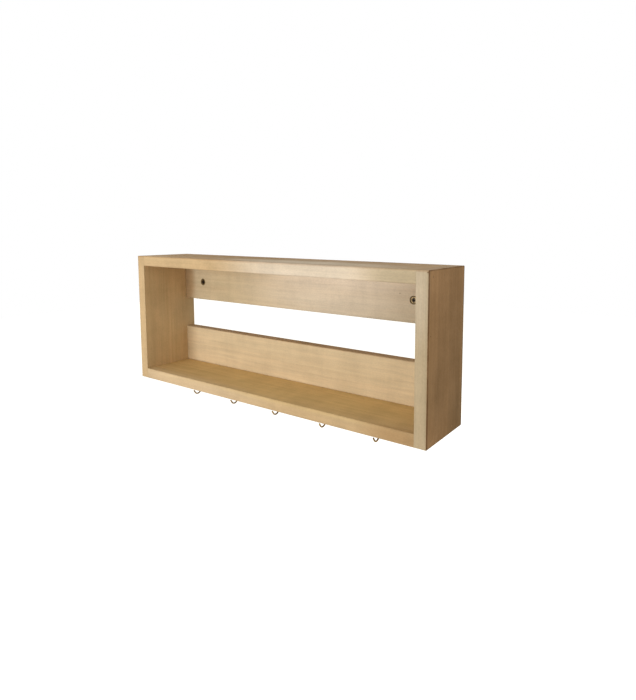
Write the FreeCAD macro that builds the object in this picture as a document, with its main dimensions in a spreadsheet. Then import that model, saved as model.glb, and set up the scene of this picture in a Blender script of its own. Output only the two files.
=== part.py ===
import FreeCAD, Part
import Sketcher
import math
import os
import re

# Wall key holder: an open-fronted wooden box shelf with a row of cup hooks under it.
#
# All lengths are in millimetres. The frame is the one that the wall gives: X runs along the
# shelf to the right, Y into the wall and Z up. The origin lies on the wall's face, halfway
# between the two wall screws. The shelf's back is the plane Y = 0 and its front is at
# Y = -shelf_depth.
#
# The two side boards run the full height. The top and bottom boards and the two back rails
# are butted between them and nailed through the sides. The cup hooks screw up into the
# bottom board, and the wall screws pass through the upper back rail into the wall.

os.makedirs("parts", exist_ok=True)
doc = FreeCAD.newDocument("wall_key_holder")

# Driving sizes

SIZES = (
    ("shelf_length", 530, "outer length of the box"),
    ("shelf_height", 202, "outer height of the box"),
    ("shelf_depth", 97, "front edge to wall"),
    ("board_thickness", 16, "thickness of every board and rail"),
    ("rail_height", 60, "height of each back rail"),
    ("edge_ease", 1.0, "rounding of every eased arris"),
    ("screw_from_end", 61.8, "end of the box to a wall screw"),
    ("screw_length", 50, "wall screw, top of head to point"),
    ("screw_head_diameter", 9.0, "wall screw head"),
    ("screw_head_rim", 0.4, "straight rim above the head's cone"),
    ("screw_head_set", 0.6, "head below the face of the rail"),
    ("screw_shank_diameter", 3.4, "plain shank below the head"),
    ("screw_thread_diameter", 4.5, "outside of the wall screw's thread"),
    ("screw_thread_start", 18, "top of head to first thread"),
    ("screw_point_length", 6, "tapered point of the wall screw"),
    ("screw_clearance", 0.2, "gap round the thread in its hole"),
    ("recess_span", 5.0, "cross recess, tip to tip of a pair of wings"),
    ("recess_wing", 1.2, "cross recess, thickness of a wing"),
    ("recess_depth", 2.0, "cross recess, depth"),
    ("nail_diameter", 1.6, "finishing nail shank"),
    ("nail_head_diameter", 2.6, "finishing nail head"),
    ("nail_head_thickness", 0.9, "finishing nail head"),
    ("nail_length", 38, "finishing nail, head to point"),
    ("nail_point_length", 3, "tapered point of the nail"),
    ("nail_set", 1.2, "head below the face of the side board"),
    ("nail_clearance", 0.05, "gap round the nail in its hole"),
    ("nail_from_front", 10.5, "front edge to the first nail of a board"),
    ("nail_pitch", 28.5, "nail to nail along the end of a board"),
    ("rail_nail_pitch", 32, "nail to nail up the end of a rail"),
    ("hook_from_end", 91, "end of the box to the outermost cup hook"),
    ("hook_from_front", 43, "front edge to the row of cup hooks"),
    ("hook_drop", 24.5, "underside of the shelf to the lowest point of a hook"),
    ("hook_wire", 2.2, "diameter of the hook's wire"),
    ("hook_neck_radius", 5, "centre line of the wire where it swings back below the collar"),
    ("hook_neck_turn", 48, "degrees that the neck swings back"),
    ("hook_bow_radius", 6, "centre line of the wire round the bow"),
    ("hook_tip_length", 5, "straight tip in front of the bow"),
    ("hook_tip_lean", 34, "degrees that the tip leans outwards"),
    ("collar_diameter", 9.0, "hook collar under the board"),
    ("collar_rim", 0.7, "straight edge of the collar"),
    ("collar_thickness", 2.0, "collar, edge and dome together"),
    ("collar_neck", 3.6, "foot of the collar's dome"),
    ("hook_thread_diameter", 3.0, "outside of the hook's wood thread"),
    ("hook_thread_length", 12, "thread above the collar"),
    ("hook_point_length", 3.5, "tapered point of the thread"),
    ("hook_clearance", 0.05, "gap round the thread in its hole"),
)

BOARD_NAILS = 3
RAIL_NAILS = 2
HOOKS = 5

sheet = doc.addObject("Spreadsheet::Sheet", "Sizes")
for row, (alias, value, meaning) in enumerate(SIZES, start=1):
    sheet.set(f"A{row}", meaning)
    sheet.set(f"B{row}", str(value))
    sheet.setAlias(f"B{row}", alias)
doc.recompute()


def size(alias):
    """The number that a cell of the sheet holds."""
    return float(sheet.get(alias))


ALIASES = {alias for alias, _, _ in SIZES}


def bound(text):
    """An expression in which every driving size is read from the sheet."""
    return re.sub(r"[a-z_]+", lambda word: ("Sizes." if word[0] in ALIASES else "") + word[0], text)


# Places and lengths that several pieces share, as expressions in the driving sizes

SHELF_TOP = "(board_thickness + rail_height / 2)"
SHELF_BOTTOM = f"({SHELF_TOP} - shelf_height)"
INNER_LENGTH = "(shelf_length - 2 * board_thickness)"
SIDE_CENTRE = "(shelf_length / 2 - board_thickness / 2)"
SIDE_MIDDLE = f"({SHELF_TOP} - shelf_height / 2)"
TOP_CENTRE = f"({SHELF_TOP} - board_thickness / 2)"
BOTTOM_CENTRE = f"({SHELF_BOTTOM} + board_thickness / 2)"
SCREW_OUT = "(shelf_length / 2 - screw_from_end)"
HOOK_PITCH = f"((shelf_length - 2 * hook_from_end) / {HOOKS - 1})"
LOWER_RAIL_CENTRE = f"({SHELF_BOTTOM} + board_thickness + rail_height / 2)"
NAIL_IN_END = "(nail_set + nail_length - board_thickness)"
NAIL_HOLE = "(nail_diameter + 2 * nail_clearance)"
NAIL_HEAD_HOLE = "(nail_head_diameter + 2 * nail_clearance)"
SCREW_HOLE = "(screw_thread_diameter + 2 * screw_clearance)"
HOOK_HOLE = "(hook_thread_diameter + 2 * hook_clearance)"
SCREW_CONE = "(screw_head_diameter / 2 - screw_shank_diameter / 2)"
NECK_TO_BOW = "(hook_neck_radius + hook_bow_radius)"
BOW_ACROSS = f"(hook_neck_radius - {NECK_TO_BOW} * cos(hook_neck_turn * 1 deg))"
BOW_HEIGHT = "(hook_wire / 2 + hook_bow_radius - hook_drop)"
NECK_HEIGHT = f"({BOW_HEIGHT} + {NECK_TO_BOW} * sin(hook_neck_turn * 1 deg))"


# Helpers for bodies, sketches and features


def new_body(label):
    """A body whose label names its file."""
    body = doc.addObject("PartDesign::Body", label)
    body.Label = label
    return body


def place(body, x="0", y="0", z="0", turn=None):
    """Places a body by expressions, with a fixed turn where one is given."""
    if turn is not None:
        body.Placement = FreeCAD.Placement(FreeCAD.Vector(0, 0, 0), turn)
    for axis, text in (("x", x), ("y", y), ("z", z)):
        body.setExpression(f"Placement.Base.{axis}", bound(text))
    doc.recompute()


def origin_feature(body, role):
    """One of the planes or axes of the body's own origin."""
    return next(item for item in body.Origin.OriginFeatures if item.Role == role)


def new_sketch(body, role, offset="0"):
    """A sketch on one of the body's origin planes, moved along its normal."""
    sketch = body.newObject("Sketcher::SketchObject", f"{body.Label}_sketch")
    sketch.AttachmentSupport = [(origin_feature(body, role), "")]
    sketch.MapMode = "FlatFace"
    sketch.setExpression("AttachmentOffset.Base.z", bound(offset))
    doc.recompute()
    return sketch


def dimension(sketch, text, kind, *arguments):
    """A dimension of a sketch, bound to an expression."""
    index = sketch.addConstraint(Sketcher.Constraint(kind, *arguments, 1.0))
    sketch.setExpression(f"Constraints[{index}]", bound(text))


def locate(sketch, geometry, point, across, up):
    """Places one point of a sketch by its distances from the sketch's origin."""
    for text, kind, axis in ((across, "DistanceX", -2), (up, "DistanceY", -1)):
        if text == "0":
            sketch.addConstraint(Sketcher.Constraint("PointOnObject", geometry, point, axis))
        else:
            dimension(sketch, text, kind, -1, 1, geometry, point)


def draw_outline(sketch, corners):
    """A closed outline of straight lines whose corners are expressions."""
    count = len(corners)
    for index in range(count):
        start = FreeCAD.Vector(index, index * index, 0)
        end = FreeCAD.Vector(index + 1, (index + 1) * (index + 1), 0)
        sketch.addGeometry(Part.LineSegment(start, end), False)
    for index, (across, up) in enumerate(corners):
        before = (index - 1) % count
        sketch.addConstraint(Sketcher.Constraint("Coincident", before, 2, index, 1))
        locate(sketch, index, 1, across, up)
    doc.recompute()


def draw_circles(sketch, diameter, centres):
    """Equal circles whose centres are expressions."""
    for index, (across, up) in enumerate(centres):
        circle = Part.Circle(FreeCAD.Vector(index, 1, 0), FreeCAD.Vector(0, 0, 1), 1.0)
        sketch.addGeometry(circle, False)
        locate(sketch, index, 3, across, up)
        dimension(sketch, diameter, "Diameter", index)
    doc.recompute()


def rectangle(width, height):
    """Corners of a rectangle centred on the sketch's origin."""
    left, right = f"-{width} / 2", f"{width} / 2"
    low, high = f"-{height} / 2", f"{height} / 2"
    return ((left, low), (right, low), (right, high), (left, high))


def pad(body, sketch, length, both_ways=False, reverse=False):
    """Raises a sketch along its normal, against it, or half each way."""
    feature = body.newObject("PartDesign::Pad", f"{body.Label}_pad")
    feature.Profile = sketch
    feature.SideType = "Symmetric" if both_ways else "One side"
    feature.Reversed = reverse
    feature.setExpression("Length", bound(length))
    doc.recompute()
    return feature


def cut(body, sketch, depth, reverse=False):
    """Sinks a sketch into the body and checks that wood or metal has gone."""
    before = body.Shape.Volume
    feature = body.newObject("PartDesign::Pocket", f"{body.Label}_pocket")
    feature.Profile = sketch
    feature.Reversed = reverse
    feature.setExpression("Length", bound(depth))
    doc.recompute()
    if body.Shape.Volume >= before:
        raise RuntimeError(f"{feature.Name} cuts nothing")
    return feature


def revolve(body, corners):
    """Turns an outline in the XZ plane about the body's Z axis."""
    sketch = new_sketch(body, "XZ_Plane")
    draw_outline(sketch, corners)
    feature = body.newObject("PartDesign::Revolution", f"{body.Label}_revolution")
    feature.Profile = sketch
    feature.ReferenceAxis = (sketch, ["V_Axis"])
    feature.Angle = 360
    doc.recompute()
    return feature


def repeat_along_x(body, feature, count, pitch):
    """Repeats a feature along the body's X axis as separate solids."""
    pattern = body.newObject("PartDesign::LinearPattern", f"{body.Label}_pattern")
    pattern.Originals = [feature]
    pattern.Direction = (origin_feature(body, "X_Axis"), [""])
    pattern.Mode = "Spacing"
    pattern.Occurrences = count
    pattern.setExpression("Offset", bound(pitch))
    body.Tip = pattern
    doc.recompute()


def dress(body, kind, chosen, name, text):
    """A fillet or a chamfer on the edges of the body that chosen picks."""
    base = body.Tip
    edges = [f"Edge{n}" for n, edge in enumerate(base.Shape.Edges, start=1) if chosen(edge)]
    feature = body.newObject(f"PartDesign::{kind}", f"{body.Label}_{kind.lower()}")
    feature.Base = (base, edges)
    feature.setExpression(name, bound(text))
    doc.recompute()
    return feature


def runs_along(edge, axis):
    """True for a straight edge parallel to an axis."""
    straight = isinstance(edge.Curve, Part.Line)
    return straight and abs(edge.tangentAt(edge.FirstParameter).dot(axis)) > 0.999


X_AXIS = FreeCAD.Vector(1, 0, 0)
Y_AXIS = FreeCAD.Vector(0, 1, 0)
Z_AXIS = FreeCAD.Vector(0, 0, 1)


# Where the nails stand, across and up from the middle of a board's end or of a side board


def board_nails():
    """Nails along the end of the top or bottom board."""
    return [(f"nail_from_front + {n} * nail_pitch - shelf_depth / 2", "0") for n in range(BOARD_NAILS)]


def rail_nails():
    """Nails up the end of a back rail."""
    middle = (RAIL_NAILS - 1) / 2
    return [("0", f"{n - middle} * rail_nail_pitch") for n in range(RAIL_NAILS)]


def side_nails():
    """Every nail of a side board."""
    nails = []
    for height in (TOP_CENTRE, BOTTOM_CENTRE):
        nails += [(across, f"{height} - {SIDE_MIDDLE}") for across, _ in board_nails()]
    for height in ("0", LOWER_RAIL_CENTRE):
        across = "shelf_depth / 2 - board_thickness / 2"
        nails += [(across, f"{height} + {up} - {SIDE_MIDDLE}") for _, up in rail_nails()]
    return nails


def hook_across(number):
    """How far a cup hook stands from the middle of the row, from 0 at the left end."""
    steps = number - (HOOKS - 1) / 2
    return f"{steps} * {HOOK_PITCH}" if steps else "0"


# Boards and rails


def drill_ends(body, nails):
    """Blind nail holes in both ends of a board that is centred on its body's origin."""
    for side, reverse in (("", False), ("-", True)):
        sketch = new_sketch(body, "YZ_Plane", f"{side}{INNER_LENGTH} / 2")
        draw_circles(sketch, NAIL_HOLE, nails)
        cut(body, sketch, f"{NAIL_IN_END} + nail_clearance", reverse)


def make_shelf_board(label, height):
    """The top or bottom board, with its long arrises eased."""
    body = new_body(label)
    sketch = new_sketch(body, "XY_Plane")
    draw_outline(sketch, rectangle(INNER_LENGTH, "shelf_depth"))
    pad(body, sketch, "board_thickness", both_ways=True)
    dress(body, "Fillet", lambda edge: runs_along(edge, X_AXIS), "Radius", "edge_ease")
    drill_ends(body, board_nails())
    place(body, y="-shelf_depth / 2", z=height)
    return body


def drill_hook_holes(body):
    """Pilot holes for the cup hooks, up from the underside of the bottom board."""
    sketch = new_sketch(body, "XY_Plane", "-board_thickness / 2")
    row = [(hook_across(number), "hook_from_front - shelf_depth / 2") for number in range(HOOKS)]
    draw_circles(sketch, HOOK_HOLE, row)
    cut(body, sketch, "hook_thread_length + hook_clearance", reverse=True)


def make_side_board(label, side):
    """A side board: side is -1 on the left and 1 on the right."""
    body = new_body(label)
    sketch = new_sketch(body, "YZ_Plane")
    draw_outline(sketch, rectangle("shelf_depth", "shelf_height"))
    pad(body, sketch, "board_thickness", both_ways=True)

    def is_eased(edge):
        """Every arris but those of the inner face, where the other boards lie flush with it."""
        return edge.CenterOfMass.x * side > -size("board_thickness") / 4

    dress(body, "Fillet", is_eased, "Radius", "edge_ease")
    outer_face = f"{side} * board_thickness / 2"
    for hole, depth in ((NAIL_HOLE, "board_thickness"), (NAIL_HEAD_HOLE, "nail_set + nail_head_thickness")):
        sketch = new_sketch(body, "YZ_Plane", outer_face)
        draw_circles(sketch, hole, side_nails())
        cut(body, sketch, depth, reverse=side < 0)
    place(body, x=f"{side} * {SIDE_CENTRE}", y="-shelf_depth / 2", z=SIDE_MIDDLE)
    return body


def make_rail(label, height):
    """A back rail, with its long arrises eased."""
    body = new_body(label)
    sketch = new_sketch(body, "XZ_Plane")
    draw_outline(sketch, rectangle(INNER_LENGTH, "rail_height"))
    pad(body, sketch, "board_thickness", both_ways=True)
    dress(body, "Fillet", lambda edge: runs_along(edge, X_AXIS), "Radius", "edge_ease")
    drill_ends(body, rail_nails())
    place(body, y="-board_thickness / 2", z=height)
    return body


def drill_screw_holes(body):
    """Countersunk holes for the wall screws, through the upper rail from its face."""
    sketch = new_sketch(body, "XZ_Plane", "board_thickness / 2")
    draw_circles(sketch, SCREW_HOLE, [(f"-{SCREW_OUT}", "0"), (SCREW_OUT, "0")])
    cut(body, sketch, "board_thickness")

    def is_mouth(edge):
        """The round edge of a hole in the face of the rail."""
        bored = isinstance(edge.Curve, Part.Circle) and abs(edge.Curve.Axis.y) > 0.999
        return bored and edge.CenterOfMass.y < 0

    mouth = f"screw_head_diameter / 2 + screw_head_rim + screw_head_set - {SCREW_HOLE} / 2"
    dress(body, "Chamfer", is_mouth, "Size", mouth)


# Fasteners and hooks


def make_wall_screw(label, side):
    """A countersunk wood screw with a cross recess; its head is at the body's origin."""
    body = new_body(label)
    thread_ramp = "(screw_thread_diameter / 2 - screw_shank_diameter / 2)"
    revolve(body, (
        ("0", "0"),
        ("screw_head_diameter / 2", "0"),
        ("screw_head_diameter / 2", "-screw_head_rim"),
        ("screw_shank_diameter / 2", f"-screw_head_rim - {SCREW_CONE}"),
        ("screw_shank_diameter / 2", "-screw_thread_start"),
        ("screw_thread_diameter / 2", f"-screw_thread_start - {thread_ramp}"),
        ("screw_thread_diameter / 2", "screw_point_length - screw_length"),
        ("0", "-screw_length"),
    ))
    reach, wing = "recess_span / 2", "recess_wing / 2"
    sketch = new_sketch(body, "XY_Plane")
    draw_outline(sketch, (
        (reach, f"-{wing}"), (reach, wing), (wing, wing), (wing, reach),
        (f"-{wing}", reach), (f"-{wing}", wing), (f"-{reach}", wing), (f"-{reach}", f"-{wing}"),
        (f"-{wing}", f"-{wing}"), (f"-{wing}", f"-{reach}"), (wing, f"-{reach}"), (wing, f"-{wing}"),
    ))
    cut(body, sketch, "recess_depth")
    towards_room = FreeCAD.Rotation(X_AXIS, 90)
    place(body, x=f"{side} * {SCREW_OUT}", y="screw_head_set - board_thickness", turn=towards_room)
    return body


def outward_turn(side, row_axis):
    """The turn that points a body's Z out of a side board and its X along a row of nails."""
    outward = FreeCAD.Vector(side, 0, 0)
    return FreeCAD.Rotation(row_axis, outward.cross(row_axis), outward, "ZXY")


def make_nails(label, side, row, y, z):
    """Finishing nails through a side board; row is their count, pitch and direction."""
    count, pitch, row_axis = row
    body = new_body(label)
    body.AllowCompound = True
    nail = revolve(body, (
        ("0", "0"),
        ("nail_head_diameter / 2", "0"),
        ("nail_head_diameter / 2", "-nail_head_thickness"),
        ("nail_diameter / 2", "-nail_head_thickness"),
        ("nail_diameter / 2", "nail_point_length - nail_length"),
        ("0", "-nail_length"),
    ))
    repeat_along_x(body, nail, count, pitch)
    place(body, f"{side} * (shelf_length / 2 - nail_set)", y, z, outward_turn(side, row_axis))
    return body


def make_fillers(label, side):
    """Plugs of wood filler, flush with the side board, over the nail heads."""
    body = new_body(label)
    body.AllowCompound = True
    sketch = new_sketch(body, "YZ_Plane", f"{side} * board_thickness / 2")
    draw_circles(sketch, "nail_head_diameter", side_nails())
    pad(body, sketch, "nail_set", reverse=side > 0)
    place(body, x=f"{side} * {SIDE_CENTRE}", y="-shelf_depth / 2", z=SIDE_MIDDLE)
    return body


def draw_hook_path(sketch):
    """The hook's centre line in the YZ plane: down, back round the neck, under the bow, up the tip."""
    neck, bow = size("hook_neck_radius"), size("hook_bow_radius")
    turn, lean = math.radians(size("hook_neck_turn")), math.radians(size("hook_tip_lean"))
    bow_height = size("hook_wire") / 2 + bow - size("hook_drop")
    bow_centre = FreeCAD.Vector(neck - (neck + bow) * math.cos(turn), bow_height, 0)
    neck_centre = FreeCAD.Vector(neck, bow_height + (neck + bow) * math.sin(turn), 0)
    neck_start = FreeCAD.Vector(0, neck_centre.y, 0)
    bow_end = bow_centre - FreeCAD.Vector(math.cos(lean), math.sin(lean), 0) * bow
    tip_end = bow_end + FreeCAD.Vector(-math.sin(lean), math.cos(lean), 0) * size("hook_tip_length")
    collar = FreeCAD.Vector(0, -size("collar_rim"), 0)
    neck_circle = Part.Circle(neck_centre, Z_AXIS, neck)
    bow_circle = Part.Circle(bow_centre, Z_AXIS, bow)
    sketch.addGeometry(Part.LineSegment(collar, neck_start), False)
    sketch.addGeometry(Part.ArcOfCircle(neck_circle, math.pi, math.pi + turn), False)
    sketch.addGeometry(Part.ArcOfCircle(bow_circle, lean - math.pi, turn), False)
    sketch.addGeometry(Part.LineSegment(bow_end, tip_end), False)
    sketch.addConstraint(Sketcher.Constraint("Coincident", 0, 2, 1, 1))
    sketch.addConstraint(Sketcher.Constraint("Tangent", 1, 2, 2, 2))
    sketch.addConstraint(Sketcher.Constraint("Tangent", 2, 1, 3, 1))
    tip = "hook_tip_lean * 1 deg"
    locate(sketch, 0, 1, "0", "-collar_rim")
    locate(sketch, 0, 2, "0", NECK_HEIGHT)
    locate(sketch, 1, 3, "hook_neck_radius", NECK_HEIGHT)
    locate(sketch, 2, 3, BOW_ACROSS, BOW_HEIGHT)
    locate(sketch, 3, 2,
           f"{BOW_ACROSS} - hook_bow_radius * cos({tip}) - hook_tip_length * sin({tip})",
           f"{BOW_HEIGHT} - hook_bow_radius * sin({tip}) + hook_tip_length * cos({tip})")
    doc.recompute()


def make_cup_hook(label, number):
    """A cup hook: thread and collar turned, wire bent to a bow; the board is at Z = 0."""
    body = new_body(label)
    revolve(body, (
        ("0", "hook_thread_length"),
        ("hook_thread_diameter / 2", "hook_thread_length - hook_point_length"),
        ("hook_thread_diameter / 2", "0"),
        ("collar_diameter / 2", "0"),
        ("collar_diameter / 2", "-collar_rim"),
        ("collar_neck / 2", "-collar_thickness"),
        ("0", "-collar_thickness"),
    ))

    def is_shoulder(edge):
        """The round edge between the collar's rim and its dome."""
        wide = isinstance(edge.Curve, Part.Circle) and 2 * edge.Curve.Radius > size("collar_neck")
        return wide and edge.CenterOfMass.z < 0

    dress(body, "Fillet", is_shoulder, "Radius", "collar_rim / 2")
    path = new_sketch(body, "YZ_Plane")
    draw_hook_path(path)
    section = new_sketch(body, "XY_Plane", "-collar_rim")
    draw_circles(section, "hook_wire", [("0", "0")])
    wire = body.newObject("PartDesign::AdditivePipe", f"{label}_wire")
    wire.Profile = section
    wire.Spine = path
    wire.Transition = "Transformed"
    doc.recompute()
    lowest_y = min(edge.CenterOfMass.y for edge in body.Tip.Shape.Edges if edge.isClosed())

    def is_wire_tip(edge):
        """The round edge of the wire's cut end."""
        return edge.isClosed() and edge.CenterOfMass.y < lowest_y + size("hook_wire") / 10

    dress(body, "Fillet", is_wire_tip, "Radius", "hook_wire * 0.45")
    place(body, x=hook_across(number), y="hook_from_front - shelf_depth", z=SHELF_BOTTOM)
    return body


# The shelf

top_board = make_shelf_board("top_board", TOP_CENTRE)
bottom_board = make_shelf_board("bottom_board", BOTTOM_CENTRE)
drill_hook_holes(bottom_board)
left_side_board = make_side_board("left_side_board", -1)
right_side_board = make_side_board("right_side_board", 1)
upper_back_rail = make_rail("upper_back_rail", "0")
drill_screw_holes(upper_back_rail)
lower_back_rail = make_rail("lower_back_rail", LOWER_RAIL_CENTRE)
pieces = [top_board, bottom_board, left_side_board, right_side_board, upper_back_rail, lower_back_rail]

for number in range(HOOKS):
    pieces.append(make_cup_hook(f"cup_hook_{number + 1}", number))

for word, side in (("left", -1), ("right", 1)):
    pieces.append(make_wall_screw(f"wall_screw_{word}", side))
    pieces.append(make_fillers(f"{word}_nail_fillers", side))
    for board, height in (("top", TOP_CENTRE), ("bottom", BOTTOM_CENTRE)):
        label = f"{board}_{word}_nails"
        row = (BOARD_NAILS, "nail_pitch", Y_AXIS)
        pieces.append(make_nails(label, side, row, "nail_from_front - shelf_depth", height))
    for rail, height in (("upper", "0"), ("lower", LOWER_RAIL_CENTRE)):
        label = f"{rail}_rail_{word}_nails"
        row = (RAIL_NAILS, "rail_nail_pitch", Z_AXIS)
        lowest = f"{height} - {(RAIL_NAILS - 1) / 2} * rail_nail_pitch"
        pieces.append(make_nails(label, side, row, "-board_thickness / 2", lowest))

doc.recompute()

for item in doc.Objects:
    if "Invalid" in item.State or "Error" in item.State:
        raise RuntimeError(f"{item.Label} failed to build")

for piece in pieces:
    if piece.Shape.isNull() or not piece.Shape.isValid():
        raise RuntimeError(f"{piece.Label} has no valid shape")

for piece in pieces:
    piece.Shape.exportStep(f"parts/{piece.Label}.step")
    print(f"{piece.Label}: {len(piece.Shape.Solids)} solids, {piece.Shape.Volume:.1f} mm3")
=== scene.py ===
import math
from collections import namedtuple

import bpy
import numpy as np
from mathutils import Matrix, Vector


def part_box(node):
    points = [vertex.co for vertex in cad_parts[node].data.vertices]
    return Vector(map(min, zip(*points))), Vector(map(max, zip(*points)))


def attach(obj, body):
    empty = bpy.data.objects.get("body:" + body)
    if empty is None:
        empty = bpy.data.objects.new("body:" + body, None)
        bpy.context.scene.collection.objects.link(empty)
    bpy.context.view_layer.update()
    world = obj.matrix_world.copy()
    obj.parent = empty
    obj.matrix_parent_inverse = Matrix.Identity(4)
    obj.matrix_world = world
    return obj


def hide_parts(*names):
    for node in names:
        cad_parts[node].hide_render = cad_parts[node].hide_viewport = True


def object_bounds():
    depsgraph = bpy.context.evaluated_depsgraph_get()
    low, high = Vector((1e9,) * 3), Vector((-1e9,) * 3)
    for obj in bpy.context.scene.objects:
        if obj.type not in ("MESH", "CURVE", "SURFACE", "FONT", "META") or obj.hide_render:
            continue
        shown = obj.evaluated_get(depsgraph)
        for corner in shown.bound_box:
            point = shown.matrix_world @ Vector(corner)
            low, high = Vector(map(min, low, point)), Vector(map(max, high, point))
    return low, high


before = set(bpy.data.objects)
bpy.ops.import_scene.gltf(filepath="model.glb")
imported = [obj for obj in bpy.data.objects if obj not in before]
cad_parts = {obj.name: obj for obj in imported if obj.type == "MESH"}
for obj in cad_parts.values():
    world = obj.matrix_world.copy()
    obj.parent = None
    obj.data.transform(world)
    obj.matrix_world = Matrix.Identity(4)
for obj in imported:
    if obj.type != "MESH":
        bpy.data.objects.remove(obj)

bl_info = {
    "name": "Wall key holder",
    "version": (1, 0, 0),
    "blender": (4, 5, 0),
    "location": "3D View > Sidebar > Key holder",
    "description": "Pale washed wood, brass cup hooks and bronzed wall screws for a box shelf",
    "category": "Object",
}

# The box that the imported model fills, kept before anything is added

CAD_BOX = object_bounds()

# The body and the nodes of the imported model

MM = 0.001
BODY = "root"
HOOKS = [f"cup_hook_{number}" for number in range(1, 6)]
SCREWS = ["wall_screw_left", "wall_screw_right"]
FILLERS = ["left_nail_fillers", "right_nail_fillers"]
NAILS = [
    f"{place}_{side}_nails"
    for side in ("left", "right")
    for place in ("top", "bottom", "upper_rail", "lower_rail")
]

# The camera: its place in metres, its turn, pitch and roll in degrees, its sensor in mm, and in
# pixels its focal length, the point that it looks at and the picture's width and height

CAMERA_PLACE = (0.5182, -0.6054, 0.0885)
CAMERA_ANGLES = (34.261, 5.632, 0.161)
SENSOR = 36.0
FOCAL_LENGTH = 524.75
LOOK_AT = (357.64, 282.14)
PICTURE = (636, 700)

# The lamps: the direction from the shelf's middle, the distance and the lamp's width and height in
# metres, and the names of the power and the colour in the stage's settings

Lamp = namedtuple("Lamp", "name towards distance size power colour")

SHELF_MIDDLE = np.array([0.0, -0.05, -0.055])
LAMPS = (
    Lamp("Window", (-0.3, -0.95, 0.04), 1.3, (0.6, 0.42), "window_power", "window_colour"),
    Lamp("Fill", (0.95, -0.25, 0.05), 1.6, (0.6, 0.6), "fill_power", "room_colour"),
    Lamp("Back", (-0.15, 1.0, 0.0), 1.8, (0.8, 0.5), "back_power", "back_colour"),
)


def swatch(red, green, blue):
    """The linear colour of a paint swatch: ((c/255 + 0.055) / 1.055) to the power 2.4."""
    return tuple(((value / 255 + 0.055) / 1.055) ** 2.4 for value in (red, green, blue))


def colour_property(name, description, default):
    """A colour that a user may change."""
    return bpy.props.FloatVectorProperty(
        name=name, description=description, default=default, subtype="COLOR", size=3, min=0, max=1)


def length_property(name, description, default):
    """A length in metres that a user may change."""
    return bpy.props.FloatProperty(
        name=name, description=description, default=default, unit="LENGTH", subtype="DISTANCE",
        min=0, precision=5)


def share_property(name, description, default):
    """A share from none to all."""
    return bpy.props.FloatProperty(
        name=name, description=description, default=default, subtype="FACTOR", min=0, max=1)


def angle_property(name, description, degrees):
    """An angle that a user may change."""
    return bpy.props.FloatProperty(
        name=name, description=description, default=math.radians(degrees), subtype="ANGLE",
        unit="ROTATION")


def power_property(name, description, default):
    """A lamp's power in watts."""
    return bpy.props.FloatProperty(
        name=name, description=description, default=default, unit="POWER", min=0)


# Settings that a user would change


class KEYHOLDER_PG_wood(bpy.types.PropertyGroup):
    """Colours and figure of the boards."""

    warm: colour_property("Warm boards", "Wood of the yellower boards", swatch(210, 181, 141))
    cool: colour_property("Cool boards", "Wood of the greyer boards", swatch(205, 189, 162))
    # Late wood of the rings and flecks; also used as painted shade on the boards
    late: colour_property("Late wood", "Dark edge of a growth ring", swatch(168, 130, 88))
    wash: colour_property("Wash", "Thin pale wash in the open grain", swatch(240, 226, 210))
    # Painted shade: a browner copy of the wood on the outer faces of the two ends and on the tops, where
    # less light reaches
    oiled: colour_property("End faces", "Browner finish of the two ends", swatch(182, 143, 106))
    # Painted light: the shelf's floor lighter and yellower, as bounced light inside the shelf would make
    # it; a little also on the upper rail
    honey: colour_property("Honey", "Yellower wood of the shelf's floor", swatch(226, 196, 138))
    # The arris colour is darker wood at sanded edges; on the ends' outer faces it is partly painted shade
    arris: colour_property("Arris", "Wood that shows at sanded edges", swatch(96, 66, 38))
    # Painted shade: dark wood in the screws' countersinks, at the right end of the upper rail and towards
    # the back and bottom of the right side
    stain: colour_property("Stain", "Dark countersinks of the wall screws", swatch(92, 76, 48))
    filler: colour_property("Filler", "Wood filler over the nails", swatch(158, 124, 88))
    steel: colour_property("Nails", "Plain steel of the nails", swatch(168, 168, 170))
    dull_steel: colour_property("Dull nails", "Dull patches on the nails", (0.2, 0.2, 0.2))
    figure: share_property("Figure", "How strongly the growth rings show", 0.1)
    streak: share_property("Streaks", "How strongly the fibres and clouds show", 0.3)
    arris_share: share_property("Arris share", "How dark the sanded edges are", 0.13)
    # On the ends the dark edges are partly sanded wood and partly painted shade, widest along the front and
    # back
    outer_share: share_property("Outer arris share", "How dark the edges of the ends are", 0.8)
    ring: length_property("Ring width", "Width of one growth ring", 6.5 * MM)
    arris_width: length_property("Arris width", "Reach of the dark edge", 2.2 * MM)
    end_width: length_property("End arris width", "Reach of the dark edge from front and back", 4.0 * MM)


class KEYHOLDER_PG_hook(bpy.types.PropertyGroup):
    """Sizes and colours of a cup hook."""

    brass: colour_property("Brass", "Bright brass of the hooks", swatch(152, 120, 62))
    tarnish: colour_property("Tarnish", "Dull patches on the brass", swatch(80, 65, 34))
    tarnish_share: share_property("Tarnish share", "How much of the brass is dull", 0.7)
    from_front: length_property("From front", "Front edge to the row of hooks", 43 * MM)
    drop: length_property("Drop", "Underside of the shelf to the lowest point", 24.5 * MM)
    wire: length_property("Wire", "Diameter of the wire", 2.2 * MM)
    neck_radius: length_property("Neck radius", "Centre line below the collar", 5 * MM)
    neck_turn: angle_property("Neck turn", "Angle that the neck swings back", 48)
    bow_radius: length_property("Bow radius", "Centre line round the bow", 6 * MM)
    tip: length_property("Tip", "Straight tip in front of the bow", 5 * MM)
    tip_lean: angle_property("Tip lean", "Angle that the tip leans outwards", 34)
    collar: length_property("Collar", "Diameter of the collar", 9 * MM)
    collar_height: length_property("Collar height", "Underside of the shelf to the bare wire", 2.4 * MM)
    thread: length_property("Thread", "Outside diameter of the thread", 3 * MM)
    thread_length: length_property("Thread length", "Thread above the collar", 12 * MM)
    pitch: length_property("Pitch", "One turn of the thread", 1.25 * MM)
    point: length_property("Point", "Tapered point", 3.5 * MM)


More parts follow.
